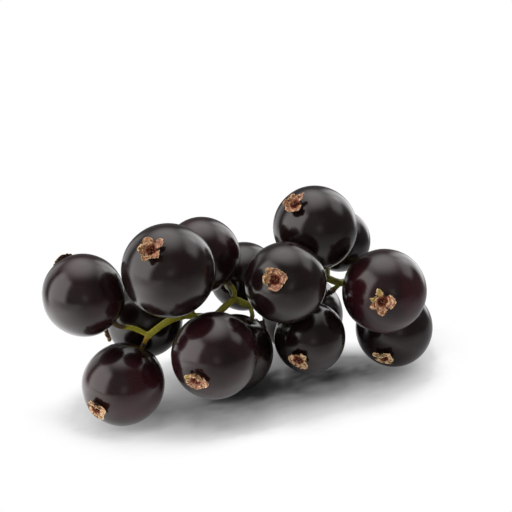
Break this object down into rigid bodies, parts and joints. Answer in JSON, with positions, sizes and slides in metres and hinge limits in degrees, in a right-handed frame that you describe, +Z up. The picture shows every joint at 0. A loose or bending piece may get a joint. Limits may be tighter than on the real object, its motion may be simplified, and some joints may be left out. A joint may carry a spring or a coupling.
{
  "type": "blackcurrant sprig",
  "caption": "Sprig of ripe blackcurrants: glossy near-black round berries with dried tan flower crowns on a thin branched green stem, lying on its lowest berries.",
  "frame": {"origin": "on the supporting surface, under the middle of the sprig's bounding box", "axes": "+X along the sprig from the stem's tip towards its cut end, +Z up from the surface it lies on, +Y towards the cut end of the stem"},
  "size_m": [0.0548, 0.0406, 0.0288],
  "materials": {
    "berry_skin": "glossy near-black fruit skin with a wine-red tint and a faint waxy bloom",
    "dried_calyx": "dry papery tan flower remains, dark red-brown inside",
    "stem": "soft green stem, yellower towards the tip"
  },
  "bodies": {
    "root": {"stem": "stem", "berry_01": "berry_skin", "berry_02": "berry_skin", "berry_03": "berry_skin", "berry_04": "berry_skin", "berry_05": "berry_skin", "berry_06": "berry_skin", "berry_07": "berry_skin", "berry_08": "berry_skin", "berry_09": "berry_skin", "berry_10": "berry_skin", "berry_11": "berry_skin", "berry_12": "berry_skin", "berry_13": "berry_skin", "berry_14": "berry_skin", "berry_15": "berry_skin", "calyx_01": "dried_calyx", "calyx_02": "dried_calyx", "calyx_03": "dried_calyx", "calyx_04": "dried_calyx", "calyx_05": "dried_calyx", "calyx_06": "dried_calyx", "calyx_07": "dried_calyx", "calyx_08": "dried_calyx", "calyx_09": "dried_calyx", "calyx_10": "dried_calyx", "calyx_11": "dried_calyx", "calyx_12": "dried_calyx", "calyx_13": "dried_calyx", "calyx_14": "dried_calyx", "calyx_15": "dried_calyx"}
  },
  "joints": []
}
